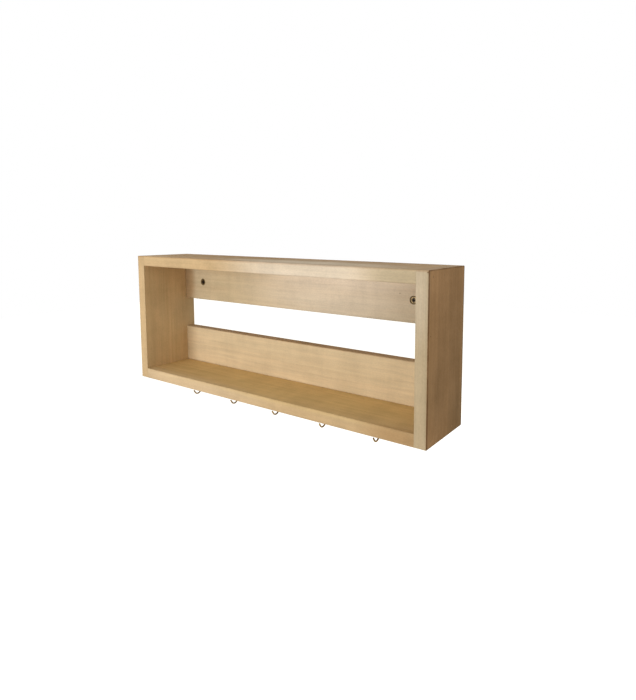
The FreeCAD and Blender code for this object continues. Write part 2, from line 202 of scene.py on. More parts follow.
class KEYHOLDER_PG_screw(bpy.types.PropertyGroup):
    """Sizes and colours of a wall screw."""

    bronze: colour_property("Bronze", "Bronzed steel of the head", swatch(128, 108, 74))
    black: colour_property("Black", "Dark phosphate in the recess and thread", swatch(40, 33, 27))
    head: length_property("Head", "Diameter of the head", 9 * MM)
    rim: length_property("Rim", "Straight edge of the head", 0.4 * MM)
    shank: length_property("Shank", "Diameter of the plain shank", 3.4 * MM)
    thread: length_property("Thread", "Outside diameter of the thread", 4.5 * MM)
    core: length_property("Core", "Diameter between the thread's turns", 3.0 * MM)
    thread_start: length_property("Thread start", "Top of the head to the thread", 18 * MM)
    length: length_property("Length", "Top of the head to the point", 50 * MM)
    point: length_property("Point", "Tapered point", 6 * MM)
    pitch: length_property("Pitch", "One turn of the thread", 2.1 * MM)
    recess: length_property("Recess", "Cross recess, tip to tip", 5 * MM)
    wing: length_property("Wing", "Thickness of a wing of the recess", 1.2 * MM)
    recess_depth: length_property("Recess depth", "Depth of the cross recess", 2 * MM)


class KEYHOLDER_PG_stage(bpy.types.PropertyGroup):
    """Floor, light and backdrop."""

    floor_drop: length_property("Floor", "Lowest hook to the floor", 0.42)
    floor_size: length_property("Floor size", "Length of the floor's sides", 8.0)
    floor_colour: colour_property("Floor colour", "Colour that the floor throws back", (0.6, 0.59, 0.57))
    floor_glow: share_property("Floor glow", "White that the floor adds where it is looked at", 0.86)
    window_power: power_property("Window", "Power of the large soft light", 8.6)
    fill_power: power_property("Fill", "Power of the small light from the right", 2.2)
    back_power: power_property("Back", "Power of the weak light behind", 5.0)
    room_level: share_property("Room", "Level of the light from all round", 0.5)
    window_colour: colour_property("Window colour", "Colour of the large light", (1.0, 0.975, 0.94))
    back_colour: colour_property("Back colour", "Colour of the weak light behind", (1.0, 0.9, 0.84))
    room_colour: colour_property("Room colour", "Colour of the light from all round", (1.0, 0.96, 0.8))


class KEYHOLDER_PG_settings(bpy.types.PropertyGroup):
    """All settings of the key holder."""

    wood: bpy.props.PointerProperty(type=KEYHOLDER_PG_wood, name="Wood")
    hook: bpy.props.PointerProperty(type=KEYHOLDER_PG_hook, name="Cup hooks")
    screw: bpy.props.PointerProperty(type=KEYHOLDER_PG_screw, name="Wall screws")
    stage: bpy.props.PointerProperty(type=KEYHOLDER_PG_stage, name="Stage")


# Short forms for shader nodes


def feed(tree, item, inputs):
    """A node given its inputs; an input is a value or another node's socket."""
    for name, value in inputs.items():
        if isinstance(value, bpy.types.NodeSocket):
            tree.links.new(value, item.inputs[name])
        else:
            item.inputs[name].default_value = value
    return item


def put(tree, kind, inputs=None, **settings):
    """A new node with its settings and inputs."""
    item = tree.nodes.new(kind)
    for name, value in settings.items():
        setattr(item, name, value)
    return feed(tree, item, inputs or {})


def use_group(tree, group, inputs):
    """The outputs of a node group placed in a material with its own values."""
    return put(tree, "ShaderNodeGroup", inputs, node_tree=group).outputs


def calc(tree, operation, first, second=0.0):
    """One sum on numbers."""
    return put(tree, "ShaderNodeMath", {0: first, 1: second}, operation=operation).outputs[0]


def total(tree, *terms):
    """The sum of values, each multiplied by its own share."""
    parts = [calc(tree, "MULTIPLY", value, share) for value, share in terms]
    result = parts[0]
    for part in parts[1:]:
        result = calc(tree, "ADD", result, part)
    return result


def vector_calc(tree, operation, first, second):
    """One sum on vectors."""
    return put(tree, "ShaderNodeVectorMath", {0: first, 1: second}, operation=operation).outputs[0]


def scaled(tree, vector, factor):
    """A vector or colour multiplied by a number."""
    return put(tree, "ShaderNodeVectorMath", {0: vector, "Scale": factor}, operation="SCALE").outputs[0]


def length_of(tree, vector):
    """The length of a vector."""
    return put(tree, "ShaderNodeVectorMath", {0: vector}, operation="LENGTH").outputs["Value"]


def ramp(tree, value, start, end, low=0.0, high=1.0):
    """A smooth step from low to high as the value goes from start to end."""
    values = {"Value": value, "From Min": start, "From Max": end, "To Min": low, "To Max": high}
    item = put(tree, "ShaderNodeMapRange", values, interpolation_type="SMOOTHSTEP", clamp=True)
    return item.outputs["Result"]


def noise(tree, vector, stretch, detail=2.0, roughness=0.5, output=0):
    """Noise over coordinates in mm, each multiplied by its own stretch."""
    values = {"Vector": vector_calc(tree, "MULTIPLY", vector, stretch),
              "Scale": 1.0, "Detail": detail, "Roughness": roughness}
    return put(tree, "ShaderNodeTexNoise", values).outputs[output]


def opaque(colour):
    """A colour with its alpha; another node's socket is left as it is."""
    return colour if isinstance(colour, bpy.types.NodeSocket) else (*colour, 1.0)


def blend_colour(tree, share, first, second):
    """A mix of two colours, each of them three numbers or another node's socket."""
    values = {0: share, 6: opaque(first), 7: opaque(second)}
    return put(tree, "ShaderNodeMix", values, data_type="RGBA").outputs[2]


def new_group(name, inputs, outputs):
    """An empty shader node group, from its inputs' default values and its outputs' names."""
    tree = bpy.data.node_groups.new(name, "ShaderNodeTree")
    for label, value in inputs.items():
        kind = "NodeSocketVector" if isinstance(value, tuple) else "NodeSocketFloat"
        tree.interface.new_socket(name=label, in_out="INPUT", socket_type=kind).default_value = value
    for label in outputs:
        tree.interface.new_socket(name=label, in_out="OUTPUT", socket_type="NodeSocketFloat")
    return tree, put(tree, "NodeGroupInput").outputs, put(tree, "NodeGroupOutput")


# Effects that several materials share

# The layers of noise in the wood: the scale along the grain and across it per mm, the detail and
# the roughness

Layer = namedtuple("Layer", "along across detail roughness")

WANDER = Layer(0.006, 0.011, 2.0, 0.45)
UNEVEN = Layer(0.002, 0.06, 1.0, 0.5)
STRENGTH = Layer(0.005, 0.04, 2.0, 0.5)
COARSE = Layer(0.006, 0.17, 5.0, 0.7)
FINE = Layer(0.05, 4.0, 2.0, 0.6)
MOTTLE = Layer(0.35, 0.6, 2.0, 0.6)
BAND = Layer(0.0035, 0.055, 3.0, 0.55)
CLOUD = Layer(0.02, 0.032, 3.0, 0.55)
SHIMMER = Layer(0.075, 0.012, 2.0, 0.5)
DASHES = Layer(0.16, 1.4, 1.0, 0.5)

# Rings that the noise may add to the count at a place, and where in a ring the late wood is darkest

RING_DRIFT = 3.5
DARKEST = 0.88


def layer_noise(tree, vector, layer, output=0):
    """One layer of the wood's noise, drawn out along the grain or across it."""
    stretch = (layer.along, layer.across, layer.across)
    return noise(tree, vector, stretch, layer.detail, layer.roughness, output)


def figure_group():
    """Wood figure, from coordinates in mm with X along the grain and the pith at Y = Z = 0.

    The rings are fract(r / w + n) of the distance r from a pith that wanders slowly, where w is
    the ring width and n a slow noise. The others are noise drawn out along the grain or across it:
    fine fibres, broad bands, soft clouds with a silky cross shimmer, and short dark flecks.
    """
    tree, given, out = new_group(
        "Wood figure", {"Vector": (0, 0, 0), "Ring Width": 4.0, "Waver": 9.0},
        ("Rings", "Fibre", "Band", "Cloud", "Fleck"))
    place = given["Vector"]
    centred = vector_calc(tree, "SUBTRACT", layer_noise(tree, place, WANDER, "Color"), (0.5, 0.5, 0.5))
    bent = vector_calc(tree, "ADD", place, scaled(tree, centred, given["Waver"]))
    radius = length_of(tree, vector_calc(tree, "MULTIPLY", bent, (0, 1, 1)))
    turns = calc(tree, "ADD", calc(tree, "DIVIDE", radius, given["Ring Width"]),
                 calc(tree, "MULTIPLY", layer_noise(tree, place, UNEVEN), RING_DRIFT))
    saw = calc(tree, "FRACT", turns)
    ring = calc(tree, "MULTIPLY", ramp(tree, saw, 0.2, DARKEST), ramp(tree, saw, DARKEST, 1.0, 1.0, 0.0))
    strength = ramp(tree, layer_noise(tree, place, STRENGTH), 0.4, 0.65)
    fibre = total(tree, (layer_noise(tree, bent, COARSE), 0.55), (layer_noise(tree, place, FINE), 0.15),
                  (layer_noise(tree, place, MOTTLE), 0.3))
    soft = total(tree, (layer_noise(tree, place, CLOUD), 0.72), (layer_noise(tree, place, SHIMMER), 0.28))
    feed(tree, out, {
        "Rings": calc(tree, "MULTIPLY", ring, strength),
        "Fibre": ramp(tree, fibre, 0.34, 0.66),
        "Band": ramp(tree, layer_noise(tree, bent, BAND), 0.32, 0.68),
        "Cloud": ramp(tree, soft, 0.34, 0.66),
        "Fleck": ramp(tree, layer_noise(tree, place, DASHES), 0.76, 0.84)})
    return tree


def arris_group():
    """Mask of a board's edges: 1 where the middle one of the three distances to the faces is 0.

    Each distance is a share of the reach along its own axis.
    """
    tree, given, out = new_group(
        "Arris", {"Vector": (0, 0, 0), "Low": (0, 0, 0), "High": (1, 1, 1), "Width": (MM, MM, MM)},
        ("Arris",))
    from_low = vector_calc(tree, "SUBTRACT", given["Vector"], given["Low"])
    from_high = vector_calc(tree, "SUBTRACT", given["High"], given["Vector"])
    nearest = vector_calc(tree, "DIVIDE", vector_calc(tree, "MINIMUM", from_low, from_high), given["Width"])
    x, y, z = put(tree, "ShaderNodeSeparateXYZ", {0: nearest}).outputs
    lesser = calc(tree, "MINIMUM", x, y)
    greater = calc(tree, "MAXIMUM", x, y)
    middle = calc(tree, "MAXIMUM", lesser, calc(tree, "MINIMUM", greater, z))
    sharp = ramp(tree, middle, 0.0, 1.0, 1.0, 0.0)
    wear = noise(tree, scaled(tree, given["Vector"], 1 / MM), (0.045, 0.045, 0.045), 3.0, 0.6)
    feed(tree, out, {"Arris": calc(tree, "MULTIPLY", sharp, ramp(tree, wear, 0.3, 0.6, 0.5, 1.0))})
    return tree


def spot_group():
    """A round mark: 1 inside its reach, fading to 0 over a soft edge that is a share of the reach.

    The reach is one number a direction, so that a mark may be drawn out along a board.
    """
    tree, given, out = new_group(
        "Spot", {"Vector": (0, 0, 0), "Place": (0, 0, 0), "Reach": (1, 1, 1), "Softness": 0.5}, ("Mask",))
    gap = vector_calc(tree, "SUBTRACT", given["Vector"], given["Place"])
    far = length_of(tree, vector_calc(tree, "DIVIDE", gap, given["Reach"]))
    inside = calc(tree, "SUBTRACT", 1.0, given["Softness"])
    outside = calc(tree, "ADD", 1.0, given["Softness"])
    feed(tree, out, {"Mask": ramp(tree, far, inside, outside, 1.0, 0.0)})
    return tree


def patina_group():
    """Dull patches of a size in mm and fine rub marks on metal, from coordinates in metres."""
    tree, given, out = new_group("Patina", {"Vector": (0, 0, 0), "Size": 3.0}, ("Patch", "Rub"))
    place = scaled(tree, given["Vector"], 1 / MM)
    sized = scaled(tree, place, calc(tree, "DIVIDE", 1.0, given["Size"]))
    feed(tree, out, {
        "Patch": ramp(tree, noise(tree, sized, (1, 1, 1), 4.0, 0.6), 0.38, 0.66),
        "Rub": ramp(tree, noise(tree, place, (3.0, 3.0, 9.0), 2.0, 0.6), 0.35, 0.7)})
    return tree


def shared_groups():
    """The node groups, each built once."""
    makers = {"Wood figure": figure_group, "Arris": arris_group, "Spot": spot_group, "Patina": patina_group}
    return {name: bpy.data.node_groups.get(name) or make() for name, make in makers.items()}


# Materials


def fresh_tree(holder):
    """The empty node tree of a material or a world."""
    holder.use_nodes = True
    holder.node_tree.nodes.clear()
    return holder.node_tree


def new_material(name):
    """A material with its own shader, its node tree and object coordinates."""
    material = bpy.data.materials.new(name)
    tree = fresh_tree(material)
    shader = put(tree, "ShaderNodeBsdfPrincipled")
    put(tree, "ShaderNodeOutputMaterial", {"Surface": shader.outputs[0]})
    return material, tree, shader, put(tree, "ShaderNodeTexCoord").outputs["Object"]


def bump(tree, height, strength, distance):
    """Fine relief from a height between 0 and 1."""
    values = {"Height": height, "Strength": strength, "Distance": distance}
    return put(tree, "ShaderNodeBump", values).outputs[0]


# A board's figure: whether its grain runs up, the pith across and up from its middle and a shift
# along the grain in mm, how cool its colour is from 0 to 1, and how light it is.
# Patches of another colour each have their place and reach in mm, their softness and their share.

Board = namedtuple("Board", "node upright pith shift coolness tone patches")
Patch = namedtuple("Patch", "colour at reach softness share")

# Painted shade: a dark ring of wood in the countersink of each wall screw
SCREW_TO_MIDDLE = 203.2
SCREW_COUNTERSINK_SHADES = tuple(Patch("stain", (side * SCREW_TO_MIDDLE, -16, 0), (5.7, 9, 5.7), 0.06, 0.88)
                     for side in (-1, 1))

BOARDS = (
    Board("top_board", False, (22, -38), 140, 0.1, 1.0, (
        Patch("wash", (90, -97, 38), (115, 70, 60), 0.6, 0.85),
        # Painted shade: the right end of the top board's front greyer and darker
        Patch("cool", (228, -97, 38), (40, 14, 20), 0.6, 0.8),
        # Painted shade: the top face of the top board browner
        Patch("oiled", (0, -48, 46), (340, 75, 2.4), 0.5, 0.5),
        Patch("wash", (60, -70, 46), (130, 26, 2.4), 0.6, 0.6),
        # Painted shade: the back half of the top face darker
        Patch("late", (-60, 0, 46), (260, 36, 2.4), 0.8, 0.45),
        Patch("arris", (215, 2, 46), (115, 10, 2.4), 0.6, 0.6))),
    Board("bottom_board", False, (-30, -52), 610, 0.1, 1.0, (
        # Painted light: the floor of the shelf lighter and yellower
        Patch("honey", (0, -40, -140), (330, 60, 6), 0.5, 0.8),
        Patch("wash", (-160, -97, -148), (150, 12, 20), 0.6, 0.15),
        Patch("late", (228, -97, -148), (42, 8, 12), 0.8, 0.6))),
    Board("left_side_board", True, (46, 30), 1130, 0.1, 1.0, (
        # Painted shade: the top end of the side browner
        Patch("oiled", (-257, -48, 46), (30, 75, 2.4), 0.5, 0.5),)),
    Board("right_side_board", True, (-64, 18), 1490, 0.8, 0.91, (
        Patch("wash", (254, -99, 22), (11, 6, 55), 0.6, 0.36),
        # Painted shade: the top end of the side browner
        Patch("oiled", (257, -48, 46), (30, 75, 2.4), 0.5, 0.6),
        # Painted shade: the outer face of the right side darker towards the back and the bottom
        Patch("stain", (266, 0, -80), (5, 75, 110), 0.8, 0.38),
        Patch("stain", (266, 0, -140), (5, 36, 30), 0.8, 0.34),
        Patch("stain", (266, -88, -95), (6, 26, 36), 0.8, 0.22),
        Patch("arris", (263.5, -97, 43.6), (0.9, 0.9, 0.9), 0.4, 0.7),
        Patch("arris", (265, -90.9, -27.4), (0.8, 0.8, 0.8), 0.4, 0.7))),
    Board("upper_back_rail", False, (34, 26), 2210, 1.0, 0.93, (
        Patch("honey", (-100, -16, -5), (120, 7, 46), 0.8, 0.16),
        Patch("wash", (75, -16, 4), (140, 7, 50), 0.7, 0.64),
        Patch("wash", (100, -16, 26), (100, 7, 16), 0.8, 0.95),
        # Painted shadow of the left side on the left end of the upper rail
        Patch("late", (-249, -16, 0), (22, 10, 50), 0.35, 0.6),
        # Painted shade: the upper rail darker and greyer at its right end
        Patch("stain", (196, -16, -8), (60, 7, 40), 0.8, 0.17),
        Patch("arris", (183.2, -16, 7.5), (0.8, 0.8, 0.8), 0.4, 0.6),
        *SCREW_COUNTERSINK_SHADES)),
    Board("lower_back_rail", False, (-38, -44), 2750, 0.72, 1.17, (
        # Painted shade: the top face of the lower rail darker
        Patch("late", (0, -6, -80), (320, 12, 1.4), 0.4, 0.9),)),
)

# Tints of the broad bands, on the boards' wood and on the browner ends, whose brown is painted shade; the
# depths in metres over which the ends' painted shade gives way to the boards' wood; and the share of each
# dark fleck

ROSY = (1.02, 1.0, 0.985)
OLIVE = (0.985, 0.988, 0.98)
LIGHTER = (1.04, 1.04, 1.04)
DARKER = (0.93, 0.93, 0.93)
END_SHADE_START = 0.4 * MM
END_SHADE_END = 1.3 * MM
FLECK_SHARE = 0.3


def centre(node):
    """The middle of a node's box."""
    return [(low + high) / 2 for low, high in zip(*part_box(node))]


def tinted(colour, tint):
    """A colour with each of its three numbers multiplied by the tint's."""
    return [value * share for value, share in zip(colour, tint)]


def spread_patches(tree, colour, place, patches, wood, groups):
    """The colour with each patch mixed in."""
    for patch in patches:
        mask = use_group(tree, groups["Spot"], {
            "Vector": place, "Place": [value * MM for value in patch.at],
            "Reach": [value * MM for value in patch.reach], "Softness": patch.softness})["Mask"]
        colour = blend_colour(tree, calc(tree, "MULTIPLY", mask, patch.share), colour,
                              getattr(wood, patch.colour))
    return colour


def wood_material(board, wood, groups):
    """Pale washed softwood, cut from its own place in the log."""
    material, tree, shader, place = new_material(f"Washed wood {board.node.replace('_', ' ')}")
    low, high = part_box(board.node)
    x, y, z = (value / MM for value in centre(board.node))
    across, up = board.pith
    mapped = put(tree, "ShaderNodeMapping", {
        "Vector": place, "Location": (board.shift, -y - across, (x if board.upright else -z) - up),
        "Rotation": (0.0, math.pi / 2 if board.upright else 0.0, 0.0), "Scale": (1 / MM,) * 3}).outputs[0]
    figure = use_group(tree, groups["Wood figure"], {"Vector": mapped, "Ring Width": wood.ring / MM})
    width = (wood.arris_width, wood.end_width if board.upright else wood.arris_width, wood.arris_width)
    arris = use_group(tree, groups["Arris"], {
        "Vector": place, "Low": low, "High": high, "Width": width})["Arris"]
    pale = [(a + (b - a) * board.coolness) * board.tone for a, b in zip(wood.warm, wood.cool)]
    colour = blend_colour(tree, figure["Band"], tinted(pale, ROSY), tinted(pale, OLIVE))
    edges = calc(tree, "MULTIPLY", arris, wood.arris_share)
    # Painted shade: the outer face of an end takes the browner copy of the wood
    if board.upright:
        from_middle = calc(tree, "ABSOLUTE", put(tree, "ShaderNodeSeparateXYZ", {0: place}).outputs[0])
        outer = ramp(tree, from_middle, CAD_BOX[1][0] - END_SHADE_END, CAD_BOX[1][0] - END_SHADE_START)
        brown = blend_colour(tree, figure["Band"], tinted(wood.oiled, LIGHTER), tinted(wood.oiled, DARKER))
        colour = blend_colour(tree, outer, colour, brown)
        # The ends' dark edges: partly wear, partly painted shade on the shaded outer faces
        edges = calc(tree, "MULTIPLY", calc(tree, "MULTIPLY", arris, outer), wood.outer_share)
    colour = spread_patches(tree, colour, place, board.patches, wood, groups)
    colour = blend_colour(tree, calc(tree, "MULTIPLY", figure["Rings"], wood.figure), colour, wood.late)
    mixed = total(tree, (figure["Fibre"], 0.6), (figure["Cloud"], 0.4))
    level = put(tree, "ShaderNodeMapRange", {
        "Value": mixed, "To Min": 1 - wood.streak / 2, "To Max": 1 + wood.streak / 2}).outputs["Result"]
    colour = scaled(tree, colour, level)
    colour = blend_colour(tree, calc(tree, "MULTIPLY", figure["Fleck"], FLECK_SHARE), colour, wood.late)
    relief = total(tree, (figure["Fibre"], 0.6), (figure["Rings"], -0.4))
    feed(tree, shader, {
        "Base Color": blend_colour(tree, edges, colour, wood.arris),
        "Roughness": ramp(tree, mixed, 0.2, 0.8, 0.7, 0.58),
        "Specular IOR Level": 0.07,
        "Normal": bump(tree, relief, 0.4, 0.1 * MM)})
    return material


def filler_material(wood, groups):
    """Matt wood filler, a little darker than the boards and slightly pitted."""
    material, tree, shader, place = new_material("Wood filler")
    patina = use_group(tree, groups["Patina"], {"Vector": place, "Size": 1.2})
    patch = calc(tree, "MULTIPLY", patina["Patch"], 0.4)
    feed(tree, shader, {
        "Base Color": blend_colour(tree, patch, wood.filler, wood.late),
        "Roughness": 0.85,
        "Normal": bump(tree, patina["Rub"], 0.6, 0.08 * MM)})
    return material


def metal_material(name, bright, dull, share, rough, groups):
    """Metal with dull patches: rough is its lowest and highest roughness."""
    material, tree, shader, place = new_material(name)
    patina = use_group(tree, groups["Patina"], {"Vector": place})
    patch = calc(tree, "MULTIPLY", patina["Patch"], share)
    worn = total(tree, (patina["Patch"], 0.6), (patina["Rub"], 0.4))
    feed(tree, shader, {
        "Base Color": blend_colour(tree, patch, bright, dull),
        "Metallic": 1.0,
        "Roughness": ramp(tree, worn, 0.0, 1.0, *rough),
        "Normal": bump(tree, patina["Rub"], 0.25, 0.02 * MM)})
    return material


def screw_material(screw, groups):
    """Bronzed steel: the head is rubbed to bronze and the recess and thread are nearly black.

    The finish follows the screw's own attribute "polish", 1 on the open face of the head.
    """
    material, tree, shader, place = new_material("Bronzed steel")
    patina = use_group(tree, groups["Patina"], {"Vector": place, "Size": 1.6})
    polish = put(tree, "ShaderNodeAttribute", attribute_name="polish").outputs["Fac"]
    worn = calc(tree, "MULTIPLY", polish, ramp(tree, patina["Patch"], 0.0, 1.0, 1.0, 0.55))
    feed(tree, shader, {
        "Base Color": blend_colour(tree, worn, screw.black, screw.bronze),
        "Metallic": 0.85,
        "Roughness": ramp(tree, patina["Rub"], 0.0, 1.0, 0.36, 0.52),
        "Normal": bump(tree, patina["Rub"], 0.3, 0.02 * MM)})
    return material


def seen_directly(tree):
    """1 for a ray that shows in the picture, straight or by way of gloss or glass, and else 0."""
    path = put(tree, "ShaderNodeLightPath").outputs
    mirrored = calc(tree, "MAXIMUM", path["Is Glossy Ray"], path["Is Transmission Ray"])
    return calc(tree, "MAXIMUM", path["Is Camera Ray"], mirrored)


def floor_material(stage):
    """A pale matt floor that is nearly white where it is looked at."""
    material = bpy.data.materials.new("Pale floor")
    tree = fresh_tree(material)
    matt = put(tree, "ShaderNodeBsdfDiffuse", {"Color": opaque(stage.floor_colour)})
    glow = put(tree, "ShaderNodeEmission", {
        "Color": (1, 1, 1, 1), "Strength": calc(tree, "MULTIPLY", seen_directly(tree), stage.floor_glow)})
    both = put(tree, "ShaderNodeAddShader", {0: matt.outputs[0], 1: glow.outputs[0]})
    put(tree, "ShaderNodeOutputMaterial", {"Surface": both.outputs[0]})
    return material


def dress(node, material):
    """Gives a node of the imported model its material, and leaves its shape alone."""
    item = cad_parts[node]
    if not item.material_slots:
        item.data.materials.append(material)
    for slot in item.material_slots:
        slot.material = material


# Surfaces worked out as whole arrays

CREASE = math.radians(38)
HOOK_SIDES = 32
LINE_POINTS = 6001


def skin_rings(rings):
    """Vertices and faces of a closed skin over rings of points, shaped (rings, points, 3).

    The first and last ring are poles: each becomes one vertex with a fan of triangles. Between
    them, point j of ring i joins point j + 1 and the same two points of ring i + 1.
    """
    count, around = rings.shape[0] - 2, rings.shape[1]
    points = np.vstack([rings[0].mean(axis=0), rings[1:-1].reshape(-1, 3), rings[-1].mean(axis=0)])
    here = np.arange(around)
    after = (here + 1) % around
    start = 1 + np.arange(count - 1)[:, None] * around
    quads = np.stack([start + here, start + after, start + around + after, start + around + here], axis=-1)
    last = 1 + (count - 1) * around
    first_fan = np.stack([np.zeros(around, int), 1 + after, 1 + here], axis=-1)
    last_fan = np.stack([np.full(around, len(points) - 1), last + here, last + after], axis=-1)
    corners = np.concatenate([first_fan, last_fan, quads.reshape(-1, 4)[:, [0, 1, 2]],
                              quads.reshape(-1, 4)[:, [0, 2, 3]]])
    a, b, c = (points[corners[:, k]] for k in range(3))
    outward = np.einsum("ij,ij->i", a, np.cross(b, c)).sum() > 0
    faces = [first_fan, last_fan, quads.reshape(-1, 4)]
    return points, [item if outward else item[:, ::-1] for item in faces]


def add_object(name, data):
    """A new object in the scene."""
    item = bpy.data.objects.new(name, data)
    bpy.context.scene.collection.objects.link(item)
    return item


def surface_piece(name, points, faces, material):
    """A mesh object from arrays of points and faces, smooth up to the crease angle."""
    mesh = bpy.data.meshes.new(name)
    mesh.from_pydata(points.tolist(), [], [face for part in faces for face in part.tolist()])
    mesh.polygons.foreach_set("use_smooth", np.ones(len(mesh.polygons), dtype=bool))
    mesh.set_sharp_from_angle(angle=CREASE)
    mesh.materials.append(material)
    mesh.update()
    return add_object(name, mesh)


def thread_ridge(along, angle, pitch, sharpness):
    """Height of a thread from 0 to 1: a triangle wave of (along / pitch - angle / 2 pi)."""
    phase = (along / pitch - angle / (2 * math.pi)) % 1.0
    return np.clip(1.0 - sharpness * np.abs(phase - 0.5) * 2, 0.0, 1.0)


def spread(*stretches):
    """Places along a line: each stretch is (start, end, steps), joined end to end."""
    parts = [np.linspace(start, end, steps, endpoint=False) for start, end, steps in stretches]
    return np.concatenate(parts + [[stretches[-1][1]]])


def running_sum(values, step):
    """The area under values that are one step apart, from the first to each of them."""
    return np.concatenate([[0.0], np.cumsum((values[1:] + values[:-1]) / 2 * step)])


def hook_surface(hook, x, y, z):
    """A cup hook as one skin: a profile carried along a centre line in the YZ plane.

    The line runs down from the thread's point. Its direction (sin f, -cos f) turns through the
    angle f, which grows round the neck, falls round the bow and is steady on the straight runs;
    the line is the running sum of that direction. The profile's radius depends on the distance s
    along the line and, on the thread, on the angle round it.
    """
    wire = hook.wire / 2
    reach = hook.neck_radius + hook.bow_radius
    neck_drop = hook.drop - wire - hook.bow_radius - reach * math.sin(hook.neck_turn)
    bow_turn = math.pi - hook.tip_lean + hook.neck_turn
    lengths = np.array([hook.thread_length + neck_drop, hook.neck_radius * hook.neck_turn,
                        hook.bow_radius * bow_turn, hook.tip])
    knots = np.concatenate([[0.0], np.cumsum(lengths)])
    collar_at = hook.thread_length
    collar_end = collar_at + hook.collar_height
    s = spread((0.0, 0.9 * collar_at, 110), (0.9 * collar_at, collar_at, 4), (collar_at, collar_end, 26),
               (collar_end, knots[1], 10), (knots[1], knots[2], 12), (knots[2], knots[3], 56),
               (knots[3], knots[4] - wire, 8), (knots[4] - wire, knots[4], 10))
    fine = np.linspace(0.0, knots[-1], LINE_POINTS)
    tip_turn = hook.neck_turn - bow_turn
    turn = np.interp(fine, knots, [0.0, 0.0, hook.neck_turn, tip_turn, tip_turn])
    step = fine[1] - fine[0]
    centre_line = (running_sum(np.sin(turn), step), -running_sum(np.cos(turn), step), turn)
    line_y, line_z, angle_f = (np.interp(s, fine, row) for row in centre_line)
    around = np.linspace(0.0, 2 * math.pi, HOOK_SIDES, endpoint=False)
    rim = hook.collar / 2
    depths = np.array([-20.0, -0.001, 0.0, 0.12, 0.35, 0.62, 0.9, 1.2, 1.5, 1.8, 2.1, 2.4, 90.0]) * MM
    flare = [2.55 * MM, 1.75 * MM, 1.35 * MM, 1.16 * MM]
    profile = np.interp(s - collar_at, depths, [
        wire, wire, rim - 0.15 * MM, rim, rim, rim - 0.12 * MM, rim - 0.7 * MM, *flare, wire, wire])
    half_thread = hook.thread / 2
    core = half_thread * 0.72
    taper = np.clip(s / hook.point, 0.0, 1.0) ** 0.8
    ridge = thread_ridge(s[:, None], around[None, :], hook.pitch, 1.25)
    fade = np.clip((collar_at - 0.6 * MM - s) / (1.2 * MM), 0.0, 1.0)[:, None]
    threaded = (core + (half_thread - core) * ridge * fade) * taper[:, None]
    left = np.clip(knots[-1] - s, 0.0, wire)
    rounded = np.sqrt(np.clip(wire ** 2 - (wire - left) ** 2, 0.0, None))
    bare = np.minimum(profile, np.where(left < wire, rounded, profile))
    radius = np.where((s < collar_at)[:, None], threaded, bare[:, None])
    side = radius * np.cos(around)
    out = radius * np.sin(around)
    rings = np.stack([x + side, y + line_y[:, None] + out * np.cos(angle_f)[:, None],
                      z + collar_at + line_z[:, None] + out * np.sin(angle_f)[:, None]], axis=-1)
    return skin_rings(rings)


def cross_outline(angle, reach, wing):
    """Distance from the centre to a cross's outline: R / cos a on a wing's end, w / sin a on its side."""
    folded = np.abs((angle + math.pi / 4) % (math.pi / 2) - math.pi / 4)
    with np.errstate(divide="ignore"):
        return np.minimum(reach / np.cos(folded), wing / np.maximum(np.sin(folded), 1e-9))


def screw_surface(screw, x, head_y, z):
    """A countersunk wood screw as one skin round an axis along +Y, and its polish.

    From the centre of the recess outwards, the rings keep the cross's outline up to the head's
    face, and then fade to circles. Behind the head the radius depends on the distance s from the
    head's face and, on the thread, on the angle round the axis.
    """
    corner = math.atan2(screw.wing, screw.recess)
    wings = np.arange(4)[:, None] * math.pi / 2
    local = np.concatenate([[-corner, -corner / 2, 0.0, corner / 2, corner],
                            np.linspace(corner, math.pi / 2 - corner, 10)[1:-1]])
    around = (wings + local).ravel()
    cross = cross_outline(around, screw.recess / 2, screw.wing / 2)
    half_head = screw.head / 2
    depth = screw.recess_depth
    face_rings, face_depths, face_polish = zip(
        (cross * 0.0, depth, 0.0), (cross * 0.3, depth * 0.96, 0.0), (cross * 0.62, depth * 0.9, 0.0),
        (cross * 0.8, depth * 0.45, 0.0), (cross * 0.97, 0.05 * MM, 0.0), (cross * 1.04, 0.0, 0.0),
        (cross * 0.5 + half_head * 0.42, 0.0, 0.2), (cross * 0 + half_head * 0.9, 0.0, 1.0),
        (cross * 0 + half_head * 0.97, 0.03 * MM, 1.0), (cross * 0 + half_head, 0.12 * MM, 0.9))
    cone_end = screw.rim + (screw.head - screw.shank) / 2
    threaded_to = screw.length - screw.point
    s = spread((screw.rim, cone_end, 6), (cone_end, screw.thread_start, 8),
               (screw.thread_start, threaded_to, 130), (threaded_to, screw.length, 34))
    half_shank, half_thread, core = screw.shank / 2, screw.thread / 2, screw.core / 2
    plain = np.interp(s, [0.0, screw.rim, cone_end, screw.thread_start, screw.thread_start + 0.8 * MM],
                      [half_head, half_head, half_shank, half_shank, core])
    ridge = thread_ridge(s[:, None], around[None, :], screw.pitch, 1.5)
    start = np.clip((s - screw.thread_start) / (1.6 * MM), 0.0, 1.0)
    taper = np.clip((screw.length - s) / screw.point, 0.0, 1.0) ** 0.75
    radius = (plain[:, None] + (half_thread - core) * ridge * start[:, None]) * taper[:, None]
    reach = np.vstack([np.array(face_rings), radius])
    along = np.concatenate([face_depths, s])
    rings = np.stack([x + reach * np.cos(around), np.broadcast_to(head_y + along[:, None], reach.shape),
                      z + reach * np.sin(around)], axis=-1)
    shine = np.concatenate([face_polish, np.interp(s, [screw.rim, cone_end], [0.6, 0.1])])
    polish = np.concatenate([[shine[0]], np.repeat(shine[1:-1], len(around)), [shine[-1]]])
    return (*skin_rings(rings), polish)


